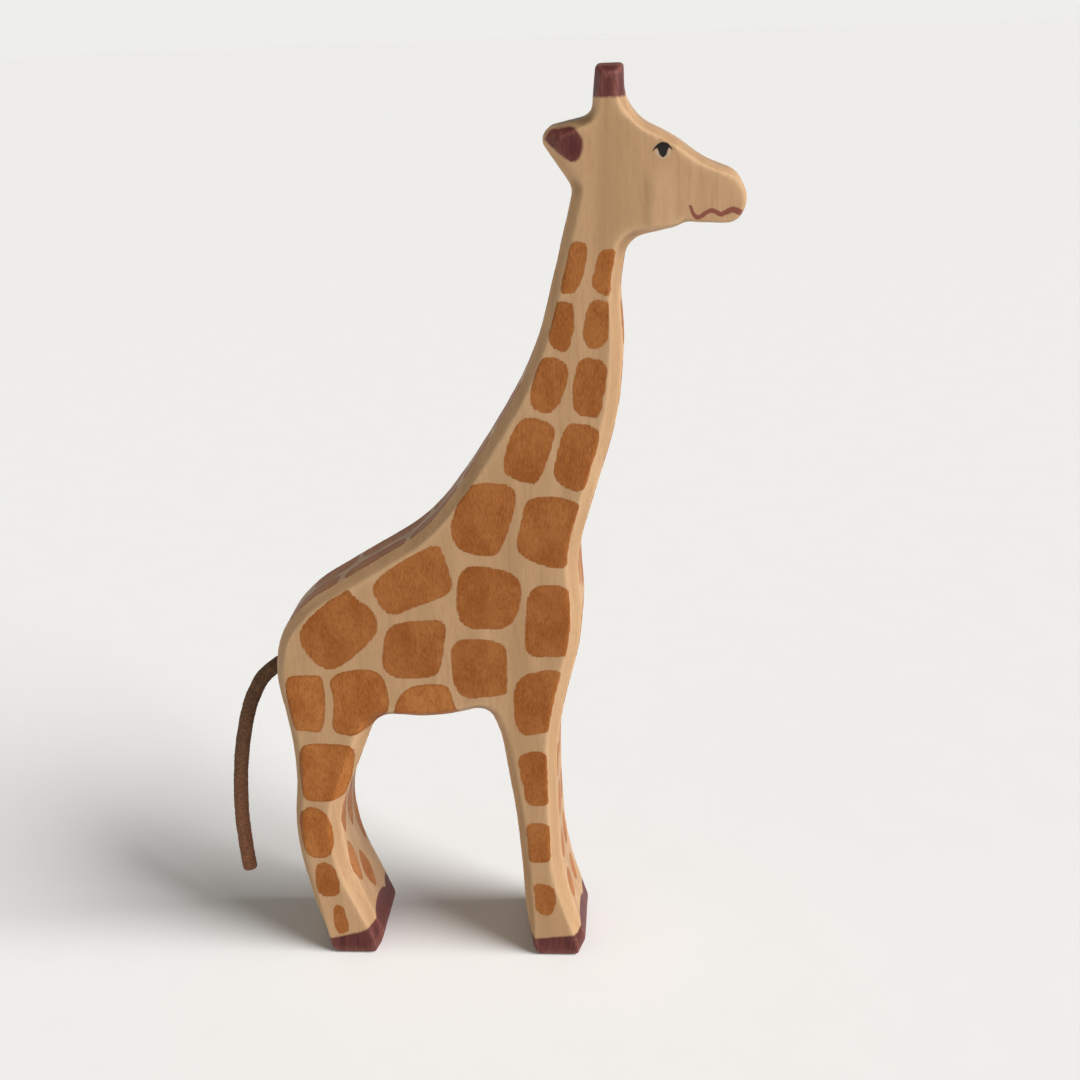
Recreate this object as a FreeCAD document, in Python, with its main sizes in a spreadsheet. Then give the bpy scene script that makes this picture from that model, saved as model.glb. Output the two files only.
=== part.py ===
"""Carved giraffe statue: one maple board with bevelled edges, and a lace tail glued into its rump.

Millimetres. +X is forward, +Y is the giraffe's left, +Z is up. The origin lies on the floor,
midway along the carved board and midway through its thickness.
"""

import FreeCAD, Part
import Sketcher
import math
import os

Vector = FreeCAD.Vector
Rotation = FreeCAD.Rotation
Placement = FreeCAD.Placement

os.makedirs("parts", exist_ok=True)
doc = FreeCAD.newDocument("giraffe")


# ---- Driving dimensions ------------------------------------------------------------------------

DIMENSIONS = [
    ("height", 240.0, "sole to the tip of the horns"),
    ("thickness", 27.6, "of the board at the floor"),
    ("side_lean", 1.23, "degrees that each side leans in towards the head"),
    ("bevel_depth", 3.4, "how far the edge bevels reach into the thickness"),
    ("cheek_start", 39.0, "forward of the origin, where the cheeks begin to narrow"),
    ("cheek_half_width", 9.4, "from the middle of the board to a cheek, at that place"),
    ("cheek_angle", 4.5, "degrees that each cheek turns in towards the nose"),
    ("jaw_clearance", 198.0, "height from which the cheeks are cut upwards"),
    ("notch_top_width", 4.6, "of the notch between the horns, at their tips"),
    ("notch_floor_width", 1.8, "of the notch between the horns, at its bottom"),
    ("notch_floor", 232.0, "height of the bottom of that notch"),
    ("beyond", 30.0, "reach of the cutting shapes, past the wood all round"),
    ("cord_diameter", 4.2, "of the tail lace"),
    ("hole_diameter", 4.9, "of the drilled tail hole"),
    ("hole_depth", 6.6, "along its axis, from the rump's surface"),
    ("hole_tilt", 25.0, "degrees that the hole rises into the wood"),
    ("mouth_setback", 62.3, "from the origin back to the hole's mouth"),
    ("mouth_height", 86.7, "of the hole's mouth above the floor"),
    ("cord_depth", 5.3, "how deep the lace sits in the hole"),
    ("first_bend", 5.2, "from the mouth out to the lace's first bend"),
    ("lead_in", 4.0, "length of the boring outside the mouth"),
    ("glue_gap", 0.03, "between the glue and what it holds"),
    ("glue_setback", 1.6, "how far inside the mouth the glue stops"),
]

sheet = doc.addObject("Spreadsheet::Sheet", "sizes")
for line, (alias, value, meaning) in enumerate(DIMENSIONS, start=1):
    sheet.set(f"A{line}", alias)
    sheet.set(f"B{line}", str(value))
    sheet.set(f"C{line}", meaning)
    sheet.setAlias(f"B{line}", alias)
doc.recompute()


def size(alias):
    return float(sheet.get(alias))


# ---- The board's outline -----------------------------------------------------------------------

DESIGN_HEIGHT = 240.0  # the outline below is drawn for this height, and scaled from it

# Width of the bevel, seen from the side, along each stretch of edge.
SOLE = 0.3
TOE = 2.2
BROAD = 3.2
MEDIUM = 2.5
HEAD = 1.1
HORN = 1.6

# Corners before rounding: x, z, share of the shorter run that the rounding takes, bevel width.
OUTLINE = [
    # hind leg, up its rear edge, and the rump
    (-53.6, 0.0, 0.20, SOLE),
    (-57.8, 14.0, 0.45, MEDIUM),
    (-62.0, 37.0, 0.45, MEDIUM),
    (-59.0, 61.0, 0.45, MEDIUM),
    (-62.9, 87.0, 0.45, MEDIUM),
    (-60.4, 99.0, 0.45, MEDIUM),
    # along the back and up the rear of the neck
    (-52.5, 107.6, 0.45, MEDIUM),
    (-20.0, 126.6, 0.45, MEDIUM),
    (-8.0, 141.6, 0.45, MEDIUM),
    (9.8, 169.6, 0.45, MEDIUM),
    (20.9, 212.4, 0.12, MEDIUM),
    # ear
    (12.0, 225.5, 0.31, MEDIUM),
    (25.6, 228.4, 0.25, HEAD),
    # horns
    (26.6, 240.0, 0.14, HORN),
    (33.1, 240.0, 0.14, HORN),
    (33.2, 232.2, 0.40, HORN),
    # forehead, nose, jaw and throat
    (37.2, 226.9, 0.45, HEAD),
    (45.2, 223.1, 0.45, HEAD),
    (51.6, 217.8, 0.45, HEAD),
    (60.2, 214.5, 0.42, HEAD),
    (62.4, 209.0, 0.42, HEAD),
    (59.6, 203.1, 0.45, HEAD),
    (47.6, 203.9, 0.30, HEAD),
    (44.8, 202.6, 0.30, HEAD),
    (33.6, 200.4, 0.36, MEDIUM),
    # down the front of the neck and the chest
    (31.5, 188.0, 0.45, MEDIUM),
    (32.6, 176.0, 0.45, BROAD),
    (31.0, 157.0, 0.45, BROAD),
    (19.5, 121.0, 0.40, BROAD),
    (21.1, 100.0, 0.45, BROAD),
    (13.2, 71.0, 0.45, BROAD),
    # front leg
    (12.4, 48.0, 0.45, MEDIUM),
    (13.4, 25.0, 0.45, BROAD),
    (19.4, 3.6, 0.25, TOE),
    (17.6, 0.0, 0.30, SOLE),
    (4.4, 0.0, 0.20, SOLE),
    (2.6, 12.0, 0.45, MEDIUM),
    (1.7, 38.0, 0.45, MEDIUM),
    (-2.2, 69.0, 0.45, MEDIUM),
    # belly
    (-5.4, 76.8, 0.45, MEDIUM),
    (-20.0, 73.4, 0.45, MEDIUM),
    (-36.0, 74.6, 0.45, MEDIUM),
    # hind leg, down its front edge
    (-40.0, 65.0, 0.45, BROAD),
    (-48.8, 44.0, 0.45, BROAD),
    (-47.3, 28.0, 0.45, BROAD),
    (-38.7, 4.2, 0.25, TOE),
    (-40.4, 0.0, 0.30, SOLE),
]


def outline_corners(bevelled):
    """Corners of the board's edge, or of the flat side that the bevel leaves, in a side's plane."""
    scale = size("height") / DESIGN_HEIGHT
    climb = 1 / math.cos(math.radians(size("side_lean")))
    corners = [Vector(x * scale, z * scale * climb, 0) for x, z, share, bevel in OUTLINE]
    if not bevelled:
        return corners
    moved = []
    for i, (x, z, share, bevel) in enumerate(OUTLINE):
        ahead = (corners[(i + 1) % len(corners)] - corners[i]).normalize()
        behind = (corners[i] - corners[i - 1]).normalize()
        inward_ahead = Vector(ahead.y, -ahead.x, 0)
        inward_behind = Vector(behind.y, -behind.x, 0)
        bisector = (inward_ahead + inward_behind).normalize()
        moved.append(corners[i] + bisector * (bevel / bisector.dot(inward_ahead)))
    return moved


def rounded_loop(corners, shares):
    """Straight runs joined by tangent arcs, as a list of Part curves in order."""
    starts = []
    ends = []
    count = len(corners)
    for i, share in enumerate(shares):
        before = corners[i - 1]
        here = corners[i]
        after = corners[(i + 1) % count]
        reach = share * min((before - here).Length, (after - here).Length)
        starts.append(here + (before - here).normalize() * reach)
        ends.append(here + (after - here).normalize() * reach)
    curves = []
    for i in range(count):
        curves.append(tangent_arc(starts[i], corners[i], ends[i]))
        curves.append(Part.LineSegment(ends[i], starts[(i + 1) % count]))
    return curves


def tangent_arc(start, corner, end):
    """The arc that leaves start towards corner and arrives at end from it."""
    middle = (start + end) * 0.5
    half_chord = (end - start).Length / 2
    to_corner = corner - middle
    half_turn = math.atan2(to_corner.Length, half_chord)
    bulge = half_chord * math.tan(half_turn / 2)
    return Part.Arc(start, middle + to_corner.normalize() * bulge, end)


# ---- Helpers -----------------------------------------------------------------------------------

def new_body(label):
    body = doc.addObject("PartDesign::Body", label)
    body.Label = label
    return body


def origin_plane(body, role):
    return next(item for item in body.Origin.OriginFeatures if item.Role == role)


def new_sketch(body, name, role):
    sketch = body.newObject("Sketcher::SketchObject", name)
    sketch.AttachmentSupport = [(origin_plane(body, role), "")]
    sketch.MapMode = "FlatFace"
    return sketch


def close_loop(sketch, curves):
    """Adds the curves to the sketch and joins each one's end to the next one's start."""
    tags = [sketch.addGeometry(curve, False) for curve in curves]
    for i, here in enumerate(tags):
        follower = (i + 1) % len(tags)
        here_end = end_point(sketch, here, curves[i].EndPoint)
        after_start = end_point(sketch, tags[follower], curves[follower].StartPoint)
        sketch.addConstraint(
            Sketcher.Constraint("Coincident", here, here_end, tags[follower], after_start)
        )
    return tags


def end_point(sketch, index, wanted):
    """Which end of a sketched curve, 1 or 2, lies at the wanted point: arcs may be turned round."""
    to_first = (sketch.getPoint(index, 1) - wanted).Length
    to_second = (sketch.getPoint(index, 2) - wanted).Length
    return 1 if to_first < to_second else 2


def polygon(sketch, points):
    """A closed loop of straight lines through the points."""
    return close_loop(sketch, [Part.LineSegment(a, b) for a, b in zip(points, points[1:] + points[:1])])


def square_up(sketch, level=(), upright=()):
    """Keeps the named lines horizontal or vertical."""
    for line in level:
        sketch.addConstraint(Sketcher.Constraint("Horizontal", line))
    for line in upright:
        sketch.addConstraint(Sketcher.Constraint("Vertical", line))


def bind(sketch, kind, geometry, value, name, expression):
    """Adds a named dimension to the sketch and ties it to the sheet."""
    index = sketch.addConstraint(Sketcher.Constraint(kind, *geometry, value))
    sketch.renameConstraint(index, name)
    sketch.setExpression(f"Constraints.{name}", expression)


# ---- Carved body -------------------------------------------------------------------------------

carved = new_body("carved_body")

# Four outlines across the board: the flat of the near side, its edge, and the same on the far side.
SECTIONS = [
    ("right_side", True, "sizes.thickness / 2", "-sizes.side_lean"),
    ("right_edge", False, "sizes.thickness / 2 - sizes.bevel_depth", "-sizes.side_lean"),
    ("left_edge", False, "-(sizes.thickness / 2 - sizes.bevel_depth)", "sizes.side_lean"),
    ("left_side", True, "-sizes.thickness / 2", "sizes.side_lean"),
]
shares = [share for x, z, share, bevel in OUTLINE]
heights = [z for x, z, share, bevel in OUTLINE]
HORN_TIP = heights.index(max(heights))  # the first of the two corners at the tips
sections = []
for name, bevelled, offset, lean in SECTIONS:
    section = new_sketch(carved, name, "XZ_Plane")
    section.AttachmentOffset = Placement(Vector(0, 0, 1), Rotation(Vector(1, 0, 0), 1))
    section.setExpression("AttachmentOffset.Base.z", offset)
    section.setExpression("AttachmentOffset.Rotation.Angle", lean)
    curves = rounded_loop(outline_corners(bevelled), shares)
    loop = close_loop(section, curves)
    if not bevelled:
        tip = 2 * HORN_TIP + 1  # each corner gives an arc and then a line
        bind(section, "DistanceY", (-1, 1, loop[tip], 1), curves[tip].StartPoint.y,
             "tip_height", "sizes.height / cos(sizes.side_lean * 1 deg)")
    sections.append(section)
doc.recompute()

board = carved.newObject("PartDesign::AdditiveLoft", "board")
board.Profile = sections[0]
board.Sections = sections[1:]
board.Ruled = True
doc.recompute()
print("board volume", round(board.Shape.Volume), "valid", board.Shape.isValid())

# Both cheeks narrow towards the nose: a wedge comes off one, and is mirrored to the other.
BEYOND = size("beyond")

cheek = new_sketch(carved, "cheek_cut", "XY_Plane")
cheek.setExpression("AttachmentOffset.Base.z", "sizes.jaw_clearance")
cheek_x, cheek_y = size("cheek_start"), size("cheek_half_width")
cheek_turn = math.radians(size("cheek_angle"))
wedge = polygon(cheek, [
    Vector(cheek_x, cheek_y, 0),
    Vector(cheek_x + BEYOND, cheek_y - BEYOND * math.tan(cheek_turn), 0),
    Vector(cheek_x + BEYOND, BEYOND, 0),
    Vector(cheek_x, BEYOND, 0),
])
square_up(cheek, level=[wedge[2]], upright=[wedge[1], wedge[3]])
bind(cheek, "DistanceX", (-1, 1, wedge[0], 1), cheek_x, "cut_from", "sizes.cheek_start")
bind(cheek, "DistanceY", (-1, 1, wedge[0], 1), cheek_y, "cut_width", "sizes.cheek_half_width")
bind(cheek, "Angle", (wedge[0],), -cheek_turn, "cut_turn", "-sizes.cheek_angle * 1 deg")
bind(cheek, "DistanceX", (wedge[0], 1, wedge[0], 2), BEYOND, "cut_length", "sizes.beyond")
bind(cheek, "DistanceY", (-1, 1, wedge[2], 1), BEYOND, "cut_reach", "sizes.beyond")

one_cheek = carved.newObject("PartDesign::Pocket", "one_cheek")
one_cheek.Profile = cheek
one_cheek.Type = "ThroughAll"
one_cheek.Reversed = True
doc.recompute()
both_cheeks = carved.newObject("PartDesign::Mirrored", "both_cheeks")
both_cheeks.Originals = [one_cheek]
both_cheeks.MirrorPlane = (origin_plane(carved, "XZ_Plane"), [""])
carved.Tip = both_cheeks
doc.recompute()

# A notch along the head parts the block above the forehead into two horns.
notch = new_sketch(carved, "horn_notch", "YZ_Plane")
floor_half, top_half = size("notch_floor_width") / 2, size("notch_top_width") / 2
low, high = size("notch_floor"), size("height")
cut = polygon(notch, [
    Vector(-floor_half, low, 0),
    Vector(floor_half, low, 0),
    Vector(top_half, high, 0),
    Vector(top_half, high + BEYOND, 0),
    Vector(-top_half, high + BEYOND, 0),
    Vector(-top_half, high, 0),
])
square_up(notch, upright=[cut[2], cut[4]])
notch.addConstraint(Sketcher.Constraint("Symmetric", cut[0], 1, cut[0], 2, -2))
notch.addConstraint(Sketcher.Constraint("Symmetric", cut[3], 1, cut[3], 2, -2))
notch.addConstraint(Sketcher.Constraint("Horizontal", cut[1], 2, cut[4], 2))
bind(notch, "DistanceY", (-1, 1, cut[0], 1), low, "floor_height", "sizes.notch_floor")
bind(notch, "DistanceX", (cut[0], 1, cut[0], 2), 2 * floor_half, "floor_width", "sizes.notch_floor_width")
bind(notch, "DistanceY", (-1, 1, cut[1], 2), high, "tip_height", "sizes.height")
bind(notch, "DistanceX", (cut[3], 2, cut[3], 1), 2 * top_half, "tip_width", "sizes.notch_top_width")
bind(notch, "DistanceY", (cut[2], 1, cut[2], 2), BEYOND, "above", "sizes.beyond")
between_horns = carved.newObject("PartDesign::Pocket", "between_horns")
between_horns.Profile = notch
between_horns.Type = "ThroughAll"
between_horns.Midplane = True
doc.recompute()


def lay_along_hole(sketch):
    """Puts the sketch's origin at the hole's mouth and its X axis along the hole, into the wood."""
    sketch.AttachmentOffset = Placement(Vector(0, 0, 0), Rotation(Vector(0, 0, 1), 1))
    sketch.setExpression("AttachmentOffset.Base.x", "-sizes.mouth_setback")
    sketch.setExpression("AttachmentOffset.Base.y", "sizes.mouth_height")
    sketch.setExpression("AttachmentOffset.Rotation.Angle", "sizes.hole_tilt")


# The tail hole is drilled up into the rump: a rectangle along the hole's axis is turned about it.
bore = new_sketch(carved, "tail_bore", "XZ_Plane")
lay_along_hole(bore)
lead_in, depth, radius = size("lead_in"), size("hole_depth"), size("hole_diameter") / 2
rim = polygon(bore, [
    Vector(-lead_in, 0, 0),
    Vector(depth, 0, 0),
    Vector(depth, radius, 0),
    Vector(-lead_in, radius, 0),
])
square_up(bore, level=[rim[0], rim[2]], upright=[rim[1], rim[3]])
bore.addConstraint(Sketcher.Constraint("PointOnObject", rim[0], 1, -1))
bind(bore, "DistanceX", (rim[0], 1, -1, 1), lead_in, "outside", "sizes.lead_in")
bind(bore, "DistanceX", (-1, 1, rim[1], 1), depth, "deep", "sizes.hole_depth")
bind(bore, "DistanceY", (rim[1], 1, rim[1], 2), radius, "half_width", "sizes.hole_diameter / 2")

solid_volume = carved.Shape.Volume
tail_hole = carved.newObject("PartDesign::Groove", "tail_hole")
tail_hole.Profile = bore
tail_hole.ReferenceAxis = (bore, ["H_Axis"])
tail_hole.Angle = 360
doc.recompute()
bored = math.pi * radius**2 * depth
print("tail hole removed", round(solid_volume - carved.Shape.Volume, 1), "of about", round(bored, 1))


# ---- Tail --------------------------------------------------------------------------------------

# The lace runs straight out of its hole, bends down, and hangs with a slight forward curl.
tilt = math.radians(size("hole_tilt"))
into_wood = Vector(math.cos(tilt), 0, math.sin(tilt))
mouth = Vector(-size("mouth_setback"), 0, size("mouth_height"))
ROUTE = [
    mouth + into_wood * size("cord_depth"),
    mouth - into_wood * size("first_bend"),
    Vector(-72.7, 0, 75.5),
    Vector(-75.6, 0, 66.4),
    Vector(-78.0, 0, 55.6),
    Vector(-79.4, 0, 43.6),
    Vector(-79.9, 0, 31.4),
    Vector(-79.2, 0, 19.6),
]
ARC_SHARE = 0.45  # of the shorter run beside a corner, taken up by the arc


def route_curves(points):
    """Straight runs joined by tangent arcs, as large as the runs allow. Prints the radii."""
    curves = []
    begin = points[0]
    for before, here, after in zip(points, points[1:], points[2:]):
        reach = ARC_SHARE * min((here - before).Length, (after - here).Length)
        start = here + (before - here).normalize() * reach
        end = here + (after - here).normalize() * reach
        arc = tangent_arc(start, here, end)
        print("tail bend radius", round(arc.toShape().Curve.Radius, 1), "mm")
        curves += [Part.LineSegment(begin, start), arc]
        begin = end
    return curves + [Part.LineSegment(begin, points[-1])]


route = Part.Wire([curve.toShape() for curve in route_curves(ROUTE)])
cord_radius = size("cord_diameter") / 2
cord_end = Part.Wire([Part.makeCircle(cord_radius, ROUTE[0], ROUTE[1] - ROUTE[0])])
tail = doc.addObject("Part::Feature", "tail_cord")
tail.Label = "tail_cord"
tail.Shape = route.makePipeShell([cord_end], True, False)
tail.Placement = Placement()
expected = math.pi * cord_radius**2 * route.Length
print("tail length", round(route.Length, 1), "volume", round(tail.Shape.Volume, 1), "of", round(expected, 1))

# Hardened glue fills the hole round and behind the end of the lace.
glue = new_body("tail_glue")
cup = new_sketch(glue, "glue_cup", "XZ_Plane")
lay_along_hole(cup)
gap = size("glue_gap")
front, back = size("glue_setback"), size("hole_depth") - gap
pocket = size("cord_depth") + gap
inner, outer = cord_radius + gap, size("hole_diameter") / 2 - gap
wall = polygon(cup, [
    Vector(front, inner, 0),
    Vector(pocket, inner, 0),
    Vector(pocket, 0, 0),
    Vector(back, 0, 0),
    Vector(back, outer, 0),
    Vector(front, outer, 0),
])
square_up(cup, level=[wall[0], wall[2], wall[4]], upright=[wall[1], wall[3], wall[5]])
cup.addConstraint(Sketcher.Constraint("PointOnObject", wall[2], 1, -1))
bind(cup, "DistanceX", (-1, 1, wall[0], 1), front, "front", "sizes.glue_setback")
bind(cup, "DistanceX", (-1, 1, wall[1], 1), pocket, "pocket", "sizes.cord_depth + sizes.glue_gap")
bind(cup, "DistanceX", (-1, 1, wall[3], 1), back, "back", "sizes.hole_depth - sizes.glue_gap")
bind(cup, "DistanceY", (-1, 1, wall[0], 1), inner, "inner", "sizes.cord_diameter / 2 + sizes.glue_gap")
bind(cup, "DistanceY", (-1, 1, wall[4], 1), outer, "outer", "sizes.hole_diameter / 2 - sizes.glue_gap")
filling = glue.newObject("PartDesign::Revolution", "filling")
filling.Profile = cup
filling.ReferenceAxis = (cup, ["H_Axis"])
filling.Angle = 360
doc.recompute()


# ---- Checks and output -------------------------------------------------------------------------

failed = [item.Label for item in doc.Objects if {"Invalid", "Error"} & set(item.State)]
if failed:
    raise RuntimeError("these objects failed to build: " + ", ".join(failed))

pieces = [carved, tail, glue]
for piece in pieces:
    shape = piece.Shape
    if shape.isNull() or not shape.isValid() or len(shape.Solids) != 1:
        raise RuntimeError(piece.Label + " is not one valid solid")

for piece in pieces:
    piece.Shape.exportStep(f"parts/{piece.Label}.step")
    box = piece.Shape.BoundBox
    print(piece.Label, round(box.XLength, 1), "x", round(box.YLength, 1), "x", round(box.ZLength, 1),
          "mm, volume", round(piece.Shape.Volume))
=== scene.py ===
# %% [markdown]
# # A carved giraffe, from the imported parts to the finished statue
#
# The statue is a maple board, sawn to a giraffe's outline, bevelled along its edges and stained by
# hand. A leather lace, glued into a hole in the rump, is its tail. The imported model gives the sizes
# and places of those pieces, and this lesson gives them their looks. Lengths are in metres, the
# giraffe looks along +X, and it stands on the floor at z = 0.

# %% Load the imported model
import math
import random

import bmesh
import bpy
import numpy as np
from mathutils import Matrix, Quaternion, Vector, noise
from mathutils.bvhtree import BVHTree


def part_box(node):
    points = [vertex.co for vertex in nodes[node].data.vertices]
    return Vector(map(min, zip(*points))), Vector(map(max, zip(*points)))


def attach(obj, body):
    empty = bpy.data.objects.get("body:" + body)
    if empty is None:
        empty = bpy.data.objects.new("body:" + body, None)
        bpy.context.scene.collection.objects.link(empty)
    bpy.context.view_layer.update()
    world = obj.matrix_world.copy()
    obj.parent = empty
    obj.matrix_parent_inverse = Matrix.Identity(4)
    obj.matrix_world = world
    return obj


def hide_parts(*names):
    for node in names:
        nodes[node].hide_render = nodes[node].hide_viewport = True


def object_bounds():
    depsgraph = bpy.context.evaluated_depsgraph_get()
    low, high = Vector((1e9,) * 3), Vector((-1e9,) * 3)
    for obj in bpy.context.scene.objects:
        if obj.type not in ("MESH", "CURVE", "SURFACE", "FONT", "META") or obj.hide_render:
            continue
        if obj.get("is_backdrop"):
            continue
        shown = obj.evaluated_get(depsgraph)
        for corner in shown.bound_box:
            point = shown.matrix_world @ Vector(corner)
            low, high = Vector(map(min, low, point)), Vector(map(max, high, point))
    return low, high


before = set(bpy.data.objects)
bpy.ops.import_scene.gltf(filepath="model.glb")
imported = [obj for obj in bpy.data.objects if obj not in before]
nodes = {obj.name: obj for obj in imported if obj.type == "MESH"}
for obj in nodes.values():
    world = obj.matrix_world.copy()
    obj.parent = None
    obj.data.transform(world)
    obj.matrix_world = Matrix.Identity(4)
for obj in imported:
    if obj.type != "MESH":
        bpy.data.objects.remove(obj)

MM = 0.001
cad_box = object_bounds()
wood_low, wood_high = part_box("carved_body")
print("pieces in the packed model:", ", ".join(sorted(nodes)))
print("board, mm:", [round(side / MM, 1) for side in wood_high - wood_low])


def grey_levels(*levels):
    """A colour given as red, green and blue from 0 to 255, turned into the light it stands for."""
    light = [((c / 255 + 0.055) / 1.055) ** 2.4 if c > 10 else c / 255 / 12.92 for c in levels]
    return (*light, 1.0)


# %% [markdown]
# ## The camera
#
# The statue is seen from its right side, a little from the front and from above, by someone who
# stands close to it. The camera could be aimed with a Track To constraint, but two angles and a
# small roll say the same and are easier to read. The lens is a little longer than normal.

# %% Place the camera
CAMERA_PLACE = Vector((37.1, -352.3, 253.6)) * MM
CAMERA_AZIMUTH = math.radians(4.48)
CAMERA_ELEVATION = math.radians(20.55)
CAMERA_ROLL = math.radians(-2.1)
LENS_LENGTH = 47.67  # in millimetres, for a sensor that is 36 mm wide
SENSOR_WIDTH = 36.0
NEAREST_SEEN = 0.01

toward_camera = Vector((
    math.sin(CAMERA_AZIMUTH) * math.cos(CAMERA_ELEVATION),
    -math.cos(CAMERA_AZIMUTH) * math.cos(CAMERA_ELEVATION),
    math.sin(CAMERA_ELEVATION),
))
lens = bpy.data.cameras.new("statue_camera")
lens.sensor_width = SENSOR_WIDTH
lens.lens = LENS_LENGTH
lens.clip_start = NEAREST_SEEN
camera = bpy.data.objects.new("statue_camera", lens)
bpy.context.scene.collection.objects.link(camera)
camera.location = CAMERA_PLACE
camera.rotation_mode = "QUATERNION"
level = (-toward_camera).to_track_quat("-Z", "Y")
camera.rotation_quaternion = level @ Quaternion((0, 0, 1), CAMERA_ROLL)
bpy.context.scene.camera = camera
print("camera stands", round(CAMERA_PLACE.length, 3), "m from the middle of the soles")

# %% [markdown]
# ## The tail's path
#
# The tail is one length of round leather lace. It leaves its hole rising backwards, bends over and
# hangs almost straight, with a slight curl forward at the cut end. A NURBS spline of order 3 has
# the points as its control points, so the lace never shows a corner. The same points shape the
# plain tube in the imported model.

# %% Lay the lace's spline
ROUTE = [
    (-57.497, 0.0, 88.940),
    (-67.013, 0.0, 84.502),
    (-72.7, 0.0, 75.5),
    (-75.6, 0.0, 66.4),
    (-78.0, 0.0, 55.6),
    (-79.4, 0.0, 43.6),
    (-79.9, 0.0, 31.4),
    (-79.2, 0.0, 19.6),
]
LACE_DIAMETER = 4.2 * MM

route = bpy.data.curves.new("lace_route", "CURVE")
route.dimensions = "3D"
line = route.splines.new("NURBS")
line.points.add(len(ROUTE) - 1)
for point, (x, y, z) in zip(line.points, ROUTE):
    point.co = (x * MM, y * MM, z * MM, 1.0)
line.order_u = 3
line.use_endpoint_u = True
line.resolution_u = 28
route_holder = bpy.data.objects.new("lace_route", route)
bpy.context.scene.collection.objects.link(route_holder)
drawn = bpy.data.meshes.new_from_object(route_holder)
lace_path = np.array([vertex.co for vertex in drawn.vertices])
bpy.data.objects.remove(route_holder)
steps = np.linalg.norm(np.diff(lace_path, axis=0), axis=1)
print("lace path:", len(lace_path), "points,", round(steps.sum() / MM, 1), "mm long")

# %% [markdown]
# ## The lace itself
#
# Round leather lace has a rough, napped skin: it isn't a clean cylinder. A curve with a bevel would
# give a smooth tube, so rings of points are carried along the path instead, and each point moves in
# or out a little by noise. Even spacing comes first, because a spline's own points crowd together
# at its bends. The end was cut square with a knife, so it closes flat.

# %% Carry rings along the path
RING_SPACING = 0.33 * MM
RING_POINTS = 36
NAP = 0.13 * MM  # how far the rough skin rises and falls
WAVE = 0.10 * MM  # slower swelling and shrinking of the lace's thickness
COARSE_NAP, FINE_NAP, FINE_SHARE = 1.5, 3.4, 0.6  # the nap's two grains, per millimetre, and their mix
WAVE_GRAIN = 0.22


def evenly_spaced(path, spacing):
    """The path's points again, about the same distance apart."""
    along = np.concatenate([[0.0], np.cumsum(np.linalg.norm(np.diff(path, axis=0), axis=1))])
    stops = np.linspace(0.0, along[-1], round(along[-1] / spacing) + 1)
    return np.stack([np.interp(stops, along, path[:, axis]) for axis in range(3)], axis=1)


def lace_skin(path, radius):
    """Rings of points round a path that lies in one upright plane, roughened by noise."""
    heading = np.gradient(path, axis=0)
    heading /= np.linalg.norm(heading, axis=1)[:, None]
    sideways = np.array([0.0, 1.0, 0.0])
    rings = []
    for place, ahead in zip(path, heading):
        outward = np.cross(ahead, sideways)
        for turn in np.linspace(0.0, 2 * math.pi, RING_POINTS, endpoint=False):
            spoke = Vector(math.cos(turn) * outward + math.sin(turn) * sideways)
            spot = (Vector(place) + spoke * radius) / MM
            rough = noise.noise(spot * COARSE_NAP) + FINE_SHARE * noise.noise(spot * FINE_NAP)
            slow = noise.noise(spot * WAVE_GRAIN + Vector((9.0, 0.0, 0.0)))
            rings.append(Vector(place) + spoke * (radius - NAP * 0.5 + NAP * rough + WAVE * slow))
    return rings


def tube_faces(rings):
    """Four-sided faces between rings that follow each other, and one face over each end."""
    faces = []
    for ring in range(rings - 1):
        for spoke in range(RING_POINTS):
            here = ring * RING_POINTS + spoke
            beside = ring * RING_POINTS + (spoke + 1) % RING_POINTS
            faces.append((here, beside, beside + RING_POINTS, here + RING_POINTS))
    last = (rings - 1) * RING_POINTS
    faces.append(tuple(reversed(range(RING_POINTS))))
    faces.append(tuple(range(last, last + RING_POINTS)))
    return faces


ring_path = evenly_spaced(lace_path, RING_SPACING)
skin = bpy.data.meshes.new("tail_lace")
skin.from_pydata(lace_skin(ring_path, LACE_DIAMETER / 2), [], tube_faces(len(ring_path)))
for face in skin.polygons:
    face.use_smooth = len(face.vertices) == 4
tail_lace = bpy.data.objects.new("tail_lace", skin)
bpy.context.scene.collection.objects.link(tail_lace)
print("lace skin:", len(ring_path), "rings of", RING_POINTS, "points")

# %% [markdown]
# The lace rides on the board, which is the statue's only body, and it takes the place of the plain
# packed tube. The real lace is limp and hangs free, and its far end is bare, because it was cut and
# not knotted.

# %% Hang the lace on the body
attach(tail_lace, "root")
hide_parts("tail_cord")

# %% [markdown]
# ## The carved board
#
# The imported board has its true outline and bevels, but its edges are as sharp as a drawing's and
# its faces are large and flat. A real one has been sanded by hand. A voxel remesh gives the board an
# even skin of small faces, which can be softened and can carry the stain's edges. A bevel
# modifier would round the edges too, but it leaves the large faces with nothing to shape or paint.

# %% Give the board an even skin
SKIN_STEP = 0.89 * MM


def evened_copy(node, name, step):
    """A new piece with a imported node's shape, made of even faces about one step across."""
    mesh = nodes[node].data.copy()
    shell = bmesh.new()
    shell.from_mesh(mesh)
    bmesh.ops.remove_doubles(shell, verts=shell.verts, dist=0.001 * MM)
    shell.to_mesh(mesh)
    shell.free()
    rough = bpy.data.objects.new(name, mesh)
    bpy.context.scene.collection.objects.link(rough)
    remesh = rough.modifiers.new("even_faces", "REMESH")
    remesh.mode = "VOXEL"
    remesh.voxel_size = step
    evened = rough.evaluated_get(bpy.context.evaluated_depsgraph_get())
    result = bpy.data.meshes.new_from_object(evened)
    result.name = name
    rough.modifiers.clear()
    rough.data = result
    result.materials.clear()
    return rough


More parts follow.
